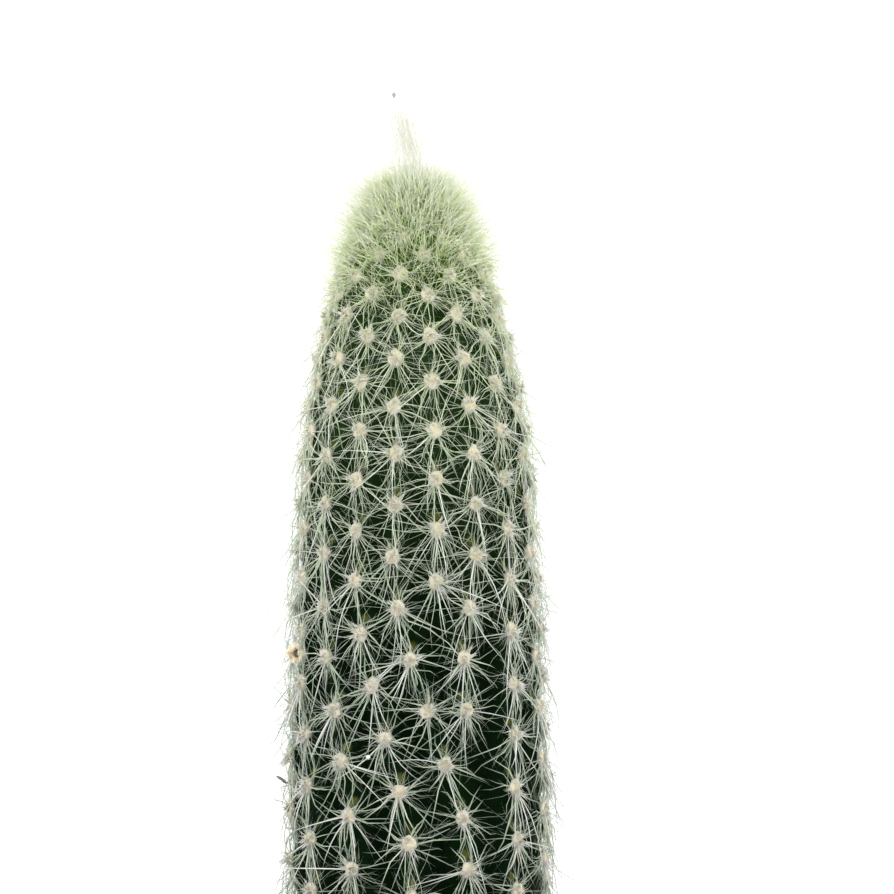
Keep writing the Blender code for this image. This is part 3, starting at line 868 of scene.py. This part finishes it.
# %% Place four spines from their pixels
PLACED_SPINES = [((401, 656), (365, 690)), ((404, 656), (368, 690)), ((374, 689), (368, 757))]
EDGE_SPINE = ((304, 797), (277, 776))
ROOT_HEIGHT, TIP_HEIGHT = 0.0006, 0.0030
PLACED_STOUTNESS, EDGE_STOUTNESS = 1.25, 0.8


def seen_at(pixel, depth):
    """The point that the camera sees at a pixel, counted from the upper left, if its y is the depth."""
    across, up = pixel[0] - PHOTO_SIDE / 2, PHOTO_SIDE / 2 - pixel[1]
    spread = PIXEL * (1.0 + depth / CAMERA_DISTANCE)
    return np.array((VIEW_CENTRE.x + across * spread, depth, VIEW_CENTRE.z + up * spread))


def front_point(pixel, off_skin):
    """The point at a height over the skin that the camera sees at a pixel."""
    guess = seen_at(pixel, 0.0)
    for _ in range(4):
        arc = np.interp(STEM_TIP - guess[2], DEPTHS, ARCS)
        azimuth = math.degrees(math.asin(guess[0] / np.interp(arc, ARCS, RADII)))
        point, out, _, _ = on_skin(azimuth, arc)
        point = point + out * off_skin
        guess = guess + (seen_at(pixel, point[1]) - point) * (1.0, 0.0, 1.0)
    return point


def straight_path(start, end):
    """A straight path with as many points as the other central spines have."""
    return start + (end - start) * np.linspace(0.0, 1.0, CENTRAL_POINTS)[:, None]


edge_root = front_point(EDGE_SPINE[0], ROOT_HEIGHT)
edge_tip = seen_at(EDGE_SPINE[1], edge_root[1])
placed_paths = [
    straight_path(front_point(root, ROOT_HEIGHT), front_point(tip, TIP_HEIGHT)) for root, tip in PLACED_SPINES
]
placed_radii = np.tile(PLACED_STOUTNESS * CENTRAL_RADIUS * CENTRAL_TAPER, (len(placed_paths), 1))
edge_radii = EDGE_STOUTNESS * CENTRAL_RADIUS * CENTRAL_TAPER
central_paths = np.concatenate([straight_path(edge_root, edge_tip)[None], central_paths, placed_paths])
central_radii = np.concatenate([edge_radii[None], central_radii, placed_radii])
central_finish = spine_finish(
    "central_spines", (0.68, 0.74, 0.65), (0.92, 0.94, 0.86), (0.70, 0.70, 0.58), youth=0.65,
)
sweep("central_spines", central_paths, central_radii, rng.random(len(central_paths)), central_finish)

# %% [markdown]
# ## The crown's brush
#
# At the growing point the spines stand in a dense soft brush, yellowish green where light comes through
# them, with the skin glimpsed between. Upright spines would make it pointed, but the photograph shows a
# dome. So each spine leaves along the skin's outward direction, with a little lift near the tip, and those
# part of the way to the shoulder are the longest. The long ones are also the slender ones.

# %% Grow the crown spines
CROWN_SPINES = 3800
CROWN_REACH = 0.038
CROWN_SHARES = (0.0, 0.12, 0.30, 0.60, 1.0)
CROWN_LENGTHS = (0.0036, 0.0068, 0.0098, 0.0084, 0.0058)
CROWN_VARIETY = (0.55, 0.95, 1.55)
CROWN_SUNK = 0.0012
CROWN_UNRULINESS = 0.32
CROWN_CURL = 0.17
CROWN_RADII = np.array((0.000070, 0.000062, 0.000048, 0.0))

rng = np.random.default_rng(44)
crown_share = rng.triangular(0.0, 0.30, 1.0, CROWN_SPINES)
crown_arc = CROWN_REACH * crown_share
crown_azimuth = rng.uniform(0.0, 360.0, CROWN_SPINES)
point, out, _, _ = on_skin(crown_azimuth, crown_arc)
upright = np.array((0.0, 0.0, 0.5)) * (1.0 - crown_share)[:, None]
way = unit(out + upright + rng.normal(0.0, CROWN_UNRULINESS, (CROWN_SPINES, 3)))
variety = rng.triangular(*CROWN_VARIETY, CROWN_SPINES)
length = np.interp(crown_share, CROWN_SHARES, CROWN_LENGTHS) * variety
bend = rng.normal(0.0, CROWN_CURL, (CROWN_SPINES, 3))
slender = 1.0 - 0.4 * smooth_step(0.8, 1.5, variety)
crown_radii = CROWN_RADII * (rng.uniform(0.7, 1.3, CROWN_SPINES) * slender)[:, None]
crown_paths = rod_paths(point - out * CROWN_SUNK, way, length, bend, len(CROWN_RADII))
crown_tones = rng.random(CROWN_SPINES) * (1.3 - 1.1 * crown_share)
crown_finish = spine_finish(
    "crown_spines", (0.66, 0.78, 0.32), (0.99, 0.99, 0.84), (0.38, 0.59, 0.03), youth=0.0,
    root_reach=0.85, root_share=0.85,
)
sweep("crown_spines", crown_paths, crown_radii, crown_tones, crown_finish)

# %% [markdown]
# ## Down
#
# Between the spines the photograph shows much finer hairs, seen best against the white as a soft grey edge.
# They grow from the areoles in every direction and curl more than the spines do. Three points are enough for
# a hair that is thinner than a pixel, and that leaves room for more of them.

# %% Grow the down
DOWN_HAIRS = 40
DOWN_LENGTHS = (0.0040, 0.0115)
DOWN_LIFTS = (1.0, 5.0, 52.0)
DOWN_RADII = (0.000042, 0.000034, 0.0)

rng = np.random.default_rng(45)
hair_count = np.round(DOWN_HAIRS * (0.8 + 0.2 * smooth_step(10.0, 20.0, AREOLE_STEP))).astype(int)
owner, axes = sprout(hair_count)
count = len(owner)
size = AREOLE_SIZE[owner]
lift = np.radians(rng.triangular(*DOWN_LIFTS, count))
way = fan(rng.uniform(0.0, math.tau, count), lift, *axes)
bend = -axes[2] * rng.uniform(0.0, 0.4, count)[:, None] + rng.normal(0.0, 0.28, (count, 3))
length = rng.uniform(*DOWN_LENGTHS, count) * (0.5 + 0.5 * size) * (1.0 - 0.65 * np.sin(lift))
length = clear_of_mix(owner, way, length, FINE_CLEARANCE)
root = PAD_CENTRE[owner] + rng.normal(0.0, 0.0008, (count, 3)) * size[:, None]
down_finish = spine_finish(
    "stem_down", (0.36, 0.47, 0.32), (0.70, 0.77, 0.58), (0.56, 0.60, 0.44), dull_and_shade=0.8,
)
down_paths = rod_paths(root, way, length, bend, len(DOWN_RADII))
sweep("stem_down", down_paths, np.tile(DOWN_RADII, (count, 1)), rng.random(count), down_finish)

# %% [markdown]
# ## The plume at the tip
#
# The one place where this plant is truly hairy is its very tip, where a thin tuft rises about seventeen
# millimetres and leans to the left. In the photograph it is a haze of even strength. All the hairs cross its
# foot and only the tall ones reach its top, so most are made tall, and each is thinner at the root than near
# its end. They are a little darker than white, because a white hair on a white ground wouldn't show. The
# first hair is aimed at the pixel of a speck of dust, which it will carry.

# %% Grow the plume
PLUME_HAIRS = 255
PLUME_HEIGHT = 0.0172
PLUME_LEAN = -0.0028
PLUME_BASE = 0.0055
PLUME_RADII = np.array((0.000010, 0.000013, 0.000021, 0.000040, 0.0))
PLUME_FOOT = 0.0035
PLUME_SWAY = 0.0025
PLUME_SUNK = 0.001
TIP_OFFSET = -0.0006
NEAR_TIP = 600
DUST_PIXEL = (394, 95)

rng = np.random.default_rng(46)
plume_azimuth = rng.uniform(0.0, 360.0, PLUME_HAIRS)
spread = PLUME_BASE * np.sqrt(rng.random(PLUME_HAIRS))
tip_arc = np.interp(spread, RADII[:NEAR_TIP], ARCS[:NEAR_TIP])
point, out, _, _ = on_skin(plume_azimuth, tip_arc)
tallness = np.linspace(1.0, 0.02, PLUME_HAIRS) ** 0.5
goal = np.array((TIP_LEAN[0] + TIP_OFFSET, 0.0, STEM_TIP)) + np.outer(tallness, (PLUME_LEAN, 0.0, 0.0))
goal[:, 2] += PLUME_FOOT + (PLUME_HEIGHT - PLUME_FOOT) * tallness
goal[:, :2] += (point[:, :2] - TIP_LEAN[:2]) * (0.8 - 0.5 * tallness)[:, None]
goal[:, :2] += rng.uniform(-PLUME_SWAY, PLUME_SWAY, (PLUME_HAIRS, 2))
goal[0] = seen_at(DUST_PIXEL, 0.0)
plume_root = point - out * PLUME_SUNK
reach = np.linalg.norm(goal - plume_root, axis=1)
bend = rng.normal(0.0, 0.03, (PLUME_HAIRS, 3))
bend[0] = 0.0
plume_paths = rod_paths(plume_root, unit(goal - plume_root), reach, bend, len(PLUME_RADII))
plume_finish = spine_finish(
    "tip_plume", (0.76, 0.75, 0.58), (0.84, 0.83, 0.68), (0.90, 0.89, 0.68), youth=0.0,
)
plume_radii = np.tile(PLUME_RADII, (PLUME_HAIRS, 1))
sweep("tip_plume", plume_paths, plume_radii, rng.random(PLUME_HAIRS), plume_finish)

# %% [markdown]
# ## A dried bud
#
# One flower bud dried up before it opened: a woolly cream cup with a small brown pit, on the left edge of the
# stem, turned to the front. A small outline is spun into the cup, and its rim is then torn by moving points
# at random. How far a point is from the cup's axis is kept on the mesh, so that the pit can be coloured.

# %% Model the dried bud
BUD_PLACE = (-71.0, 0.1558)
BUD_LEAN = 1.3
BUD_OUTLINE = (
    (0.0, -0.0012), (0.0011, -0.0010), (0.0017, -0.0001), (0.0020, 0.0008), (0.0021, 0.0016),
    (0.0018, 0.0024), (0.0013, 0.0027), (0.0008, 0.0023), (0.0005, 0.0014), (0.0, 0.0011),
)
BUD_STEPS = 24
BUD_TATTER = 0.00026
BUD_STANDING = 0.0008
PIT_BROWN, CUP_CREAM, RIM_CREAM = (0.110, 0.048, 0.012), (0.88, 0.73, 0.48), (0.93, 0.86, 0.74)

bud_draw = random.Random(48)
bm = turned(BUD_OUTLINE, BUD_STEPS)
bud_open = bm.verts.layers.float.new("open")
bud_arc = np.interp(STEM_TIP - BUD_PLACE[1], DEPTHS, ARCS)
bud_point, bud_out = (Vector(part) for part in on_skin(BUD_PLACE[0], bud_arc)[:2])
rim_radius, rim_height = BUD_OUTLINE[4]
bud_way = (bud_out + Vector((0.0, -BUD_LEAN, 0.0))).normalized()
bud_turn = bud_way.to_track_quat("Z", "Y").to_matrix()
for vert in bm.verts:
    rim = max(0.0, vert.co.z / rim_height)
    vert[bud_open] = math.hypot(vert.co.x, vert.co.y) / rim_radius
    ragged = Vector([bud_draw.uniform(-1.0, 1.0) for _ in range(3)]) * BUD_TATTER * rim
    vert.co = bud_point + bud_out * BUD_STANDING + bud_turn @ (vert.co + ragged)
bud_finish = Finish("dried_bud", 0.9)
bud_finish.glow(0.5, (1.0, 0.8, 0.5), GLOW_DEPTH)
bud_grain = bud_finish.noise(0.0007, 3.0)
bud_share = bud_finish.attribute("open") + bud_grain * 0.3
bud_finish.paint(PIT_BROWN, [
    (bud_finish.step(bud_share, 0.40, 0.62), CUP_CREAM),
    (bud_finish.step(bud_share, 0.70, 1.05) * 0.8, RIM_CREAM),
])
bud_finish.bump(bud_grain, 0.0003)
bud = add_piece("dried_bud", bm, bud_finish)
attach(bud, "root")

# %% [markdown]
# ## Crumbs caught in the spines
#
# A plant that stands on a shelf gathers dust. The photograph shows a white crumb low on the front, a dark
# scrap at the left edge and a grey speck above the plume. Each is a small roughened ball on something that
# was placed for it: the crumb on the tip of a spine, the scrap along the edge spine and the speck on the tip
# of the first plume hair, so that nothing floats.

# %% Add the crumbs
CRUMB_RADII = (0.00044, 0.00038, 0.00042)
SCRAP_RADII = (0.00034, 0.00030, 0.00125)
DUST_RADII = (0.00034, 0.00030, 0.00056)
SCRAP_SHARE = 0.82
CRUMB_LUMPS = 0.25
SOOT, CHALK, SAND = (0.150, 0.135, 0.130), (0.92, 0.94, 0.88), (0.50, 0.46, 0.40)
UP = (0.0, 0.0, 1.0)

crumb_list = [
    (plume_paths[0, -1], DUST_RADII, 0.35, UP),
    (central_paths[-1, -1], CRUMB_RADII, 1.0, UP),
    (edge_root + (edge_tip - edge_root) * SCRAP_SHARE, SCRAP_RADII, 0.0, edge_tip - edge_root),
]
crumb_draw = random.Random(49)
all_crumbs = bmesh.new()
for place, radii, tone, way in crumb_list:
    axes = Vector(way).to_track_quat("Z", "Y").to_matrix()
    add_ball(all_crumbs, Vector(place), axes, radii, tone, CRUMB_LUMPS, 2, crumb_draw)
crumb_finish = Finish("crumbs", 0.9)
crumb_finish.paint(SOOT, [
    (crumb_finish.step(crumb_finish.attribute("tone"), 0.0, 1.0), CHALK),
    (crumb_finish.noise(0.0004) * 0.2, SAND),
])
crumbs = add_piece("crumbs", all_crumbs, crumb_finish)
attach(crumbs, "root")

# %% [markdown]
# ## The clay pot
#
# A terracotta pot is thrown on a wheel or pressed in a turning mould, so it is spun here too: a tapered
# body, a collar round the rim, and a drain hole. Bevelled corners soften it as handling does. Faint rings
# from the turning and a slight wobble keep it from looking machined.

# %% Turn the pot
POT_HEIGHT = 0.088
POT_FOOT_RADIUS = 0.0345
POT_BODY_TOP_RADIUS = 0.0458
POT_RIM_RADIUS = 0.0525
POT_RIM_HEIGHT = 0.021
POT_RIM_TAPER = 0.0016
POT_WALL = 0.0055
POT_MOUTH_WALL = 0.0067
POT_FLOOR = 0.007
DRAIN_RADIUS = 0.007
POT_STEPS = 144
CORNER_ROUND = 0.0013
RING_DEPTH = 0.00006
RING_PITCH = 0.0031
SHARP_CORNER = 30.0
TALLEST_FACE = 0.012


def pot_inner_radius(height):
    """The radius of the pot's inner wall at a height above the surface it stands on."""
    bottom, top = POT_FOOT_RADIUS - POT_WALL, POT_RIM_RADIUS - POT_MOUTH_WALL
    return bottom + (top - bottom) * (height - POT_FLOOR) / (POT_HEIGHT - POT_FLOOR)


collar_foot = POT_HEIGHT - POT_RIM_HEIGHT
corners = [
    (DRAIN_RADIUS, 0.0),
    (POT_FOOT_RADIUS, 0.0),
    (POT_BODY_TOP_RADIUS, collar_foot),
    (POT_RIM_RADIUS - POT_RIM_TAPER, collar_foot),
    (POT_RIM_RADIUS, POT_HEIGHT),
    (pot_inner_radius(POT_HEIGHT), POT_HEIGHT),
    (pot_inner_radius(POT_FLOOR), POT_FLOOR),
    (DRAIN_RADIUS, POT_FLOOR),
    (DRAIN_RADIUS, 0.0),
]
bm = turned(corners, POT_STEPS)
sharp = [edge for edge in bm.edges if edge.calc_face_angle(0.0) > math.radians(SHARP_CORNER)]
bmesh.ops.bevel(
    bm, geom=sharp, offset=CORNER_ROUND, offset_type="OFFSET", affect="EDGES",
    segments=4, profile=0.5, material=-1, clamp_overlap=True,
)
tall = [edge for edge in bm.edges if abs(edge.verts[0].co.z - edge.verts[1].co.z) > TALLEST_FACE]
bmesh.ops.subdivide_edges(bm, edges=tall, cuts=23, use_grid_fill=True)
for vert in bm.verts:
    turn = math.atan2(vert.co.y, vert.co.x)
    ring = RING_DEPTH * math.sin(math.tau * vert.co.z / RING_PITCH + 0.8 * math.sin(2.0 * turn))
    wobble = 0.0001 * math.sin(2.0 * turn + 0.7) + 0.00005 * math.sin(5.0 * turn)
    away = math.hypot(vert.co.x, vert.co.y)
    vert.co.x *= 1.0 + (ring + wobble) / away
    vert.co.y *= 1.0 + (ring + wobble) / away

clay_finish = Finish("terracotta", 0.85)
clay_height = clay_finish.height()
clay_cloud, clay_blotch = clay_finish.noise(0.03, 4.0), clay_finish.noise(0.009, 5.0)
clay_grain = clay_finish.noise(0.0007, 3.0)
damp = 1.0 - clay_finish.step(clay_height + clay_cloud * 0.02, 0.012, 0.034)
bloom = clay_finish.step(clay_blotch + clay_cloud * 0.5, 0.70, 1.05)
edge_bloom = clay_finish.step(clay_height + clay_blotch * 0.012, 0.086, 0.096)
clay_finish.paint((0.34, 0.118, 0.048), [
    (clay_cloud, (0.47, 0.195, 0.094)),
    (clay_finish.step(clay_grain, 0.55, 0.75) * 0.35, (0.30, 0.12, 0.06)),
    (damp * 0.45, (0.26, 0.105, 0.055)),
    (bloom * 0.20 + edge_bloom * 0.25, (0.58, 0.42, 0.32)),
])
clay_finish.feed("Roughness", 0.78 + 0.15 * clay_grain)
clay_finish.bump(clay_grain + clay_blotch * 0.6, 0.00025, 0.7)
pot = add_piece("clay_pot", bm, clay_finish)
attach(pot, "root")
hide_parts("pot")

# %% [markdown]
# ## The potting mix
#
# Cactus mix is mostly grit. The bed is a turned plug that fills the pot and holds a plain hole for the stem,
# with its top pushed about by noise. The larger stones lie where the solid model has them.

# %% Bed the mix
MIX_EDGE_DROP = 0.0008
MIX_MOUND = 0.0006
TOUCH_GAP = 0.0006
FLOOR_ROUND = 0.0028
HOLE_RINGS = 5
MIX_STEPS = 144
STONE_MARGIN = 1.25
GOLDEN_ANGLE = 137.50776

wall = pot_inner_radius(MIX_TOP) - TOUCH_GAP
hole_radius = NECK_RADIUS + TOUCH_GAP
hole = []
for ring in range(HOLE_RINGS):
    depth = STEM_ABOVE_MIX + ROOT_DEPTH * math.sin(math.pi / 2 * ring / HOLE_RINGS)
    hole.append((float(stem_radius(np.float64(depth + 1e-9))) + TOUCH_GAP, STEM_TIP - depth))
top_rings = []
for share in np.linspace(0.0, 1.0, 22):
    bulge = MIX_MOUND * 4.0 * share * (1.0 - share) - MIX_EDGE_DROP * (1.0 - share) ** 4
    top_rings.append((wall + (hole_radius - wall) * share, MIX_TOP + bulge))
mix_outline = [
    (0.0, POT_FLOOR + 0.5 * TOUCH_GAP),
    (pot_inner_radius(POT_FLOOR) - FLOOR_ROUND - TOUCH_GAP, POT_FLOOR + 0.5 * TOUCH_GAP),
    (pot_inner_radius(POT_FLOOR + FLOOR_ROUND) - TOUCH_GAP, POT_FLOOR + FLOOR_ROUND),
    *top_rings,
    *hole[1:],
    (ROOT_RADIUS + TOUCH_GAP, MIX_TOP - ROOT_DEPTH - TOUCH_GAP),
    (0.0, MIX_TOP - ROOT_DEPTH - TOUCH_GAP),
]
bm = turned(mix_outline, MIX_STEPS)
for vert in bm.verts:
    away = math.hypot(vert.co.x, vert.co.y)
    if vert.co.z > MIX_TOP - 0.002 and hole_radius + 0.0002 < away < wall - 0.0002:
        vert.co.z += 0.0006 * noise.noise(vert.co / 0.0021) + 0.0004 * noise.noise(vert.co / 0.0008)

grit_finish = Finish("grit", 0.92)
grit_fleck, grit_cloud = grit_finish.noise(0.0012, 4.0), grit_finish.noise(0.006, 3.0)
grit_finish.paint((0.055, 0.038, 0.026), [
    (grit_cloud, (0.14, 0.10, 0.07)),
    (grit_finish.step(grit_fleck, 0.55, 0.68) * 0.7, (0.32, 0.26, 0.19)),
])
grit_finish.bump(grit_fleck, 0.0006)
bed = add_piece("grit_bed", bm, grit_finish)
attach(bed, "root")
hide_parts("potting_mix")

# %% [markdown]
# The loose grit is pumice, lava and coarse sand. Every grain is a ball of 20 faces, flattened, turned and
# roughened by its own draws, and its tone picks its kind of stone in the material. The golden angle from
# grain to grain spreads them evenly over the ring without rows.

# %% Scatter the grit
GRAINS = 1500
GRAIN_RADII = (0.0005, 0.0013)
GRAIN_WIDTHS = (0.8, 1.25)
GRAIN_HEIGHTS = (0.55, 0.9)
GRAIN_BEDS = (0.1, 0.6)
GRAIN_TILT = 0.6
STONE_LUMPS, GRAIN_LUMPS = 0.05, 0.14

grit_draw = random.Random(47)
all_grit = bmesh.new()


def spread_out(number, total, near, far):
    """How far from the axis one of many grains lies, so that together they cover the ring evenly."""
    return math.sqrt(near ** 2 + (far ** 2 - near ** 2) * (number + 0.5) / total)


def add_grain(away, turn, size, bed_share, widths, leaning, lumps, detail):
    """Adds one rounded stone or grain, bedded in the mix at a distance and a turn from the axis."""
    place = Vector((away * math.cos(turn), away * math.sin(turn), MIX_TOP + size * bed_share))
    axes = leaning.to_track_quat("Z", "Y").to_matrix()
    radii = [width * size for width in widths]
    add_ball(all_grit, place, axes, radii, grit_draw.random(), lumps, detail, grit_draw)


for number, size, bed_share, widths, leaning in stones:
    margin = STONE_MARGIN * size
    away = spread_out(number, STONE_COUNT, hole_radius + TOUCH_GAP + margin, wall - margin)
    add_grain(away, math.radians(GOLDEN_ANGLE * number), size, bed_share, widths, leaning, STONE_LUMPS, 3)
for number in range(GRAINS):
    size = grit_draw.triangular(*GRAIN_RADII, GRAIN_RADII[0])
    away = spread_out(number, GRAINS, hole_radius + size, wall - size)
    turn = math.radians(GOLDEN_ANGLE * number) + grit_draw.uniform(-0.05, 0.05)
    bed_share = grit_draw.uniform(*GRAIN_BEDS)
    widths = [grit_draw.uniform(*limits) for limits in (GRAIN_WIDTHS, GRAIN_WIDTHS, GRAIN_HEIGHTS)]
    leaning = Vector((*(grit_draw.uniform(-GRAIN_TILT, GRAIN_TILT) for _ in range(2)), 1.0))
    add_grain(away, turn, size, bed_share, widths, leaning, GRAIN_LUMPS, 1)

stone_finish = Finish("loose_grit", 0.88)
stone_fleck, stone_cloud = stone_finish.noise(0.0006, 3.0), stone_finish.noise(0.0025, 2.0)
kinds = stone_finish.node("ShaderNodeValToRGB", {"stops": [
    (0.0, (0.060, 0.045, 0.035)),
    (0.22, (0.19, 0.075, 0.045)),
    (0.42, (0.30, 0.235, 0.165)),
    (0.62, (0.43, 0.36, 0.27)),
    (0.80, (0.20, 0.185, 0.17)),
    (0.93, (0.66, 0.63, 0.57)),
]}, {0: stone_finish.attribute("tone")})
stone_finish.paint(kinds, [
    (stone_finish.step(stone_fleck, 0.5, 0.7) * 0.5, (0.10, 0.08, 0.06)),
    (stone_cloud * 0.35, (0.34, 0.28, 0.21)),
])
stone_finish.bump(stone_fleck, 0.0003)
grit = add_piece("loose_grit", all_grit, stone_finish, smooth=False)
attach(grit, "root")
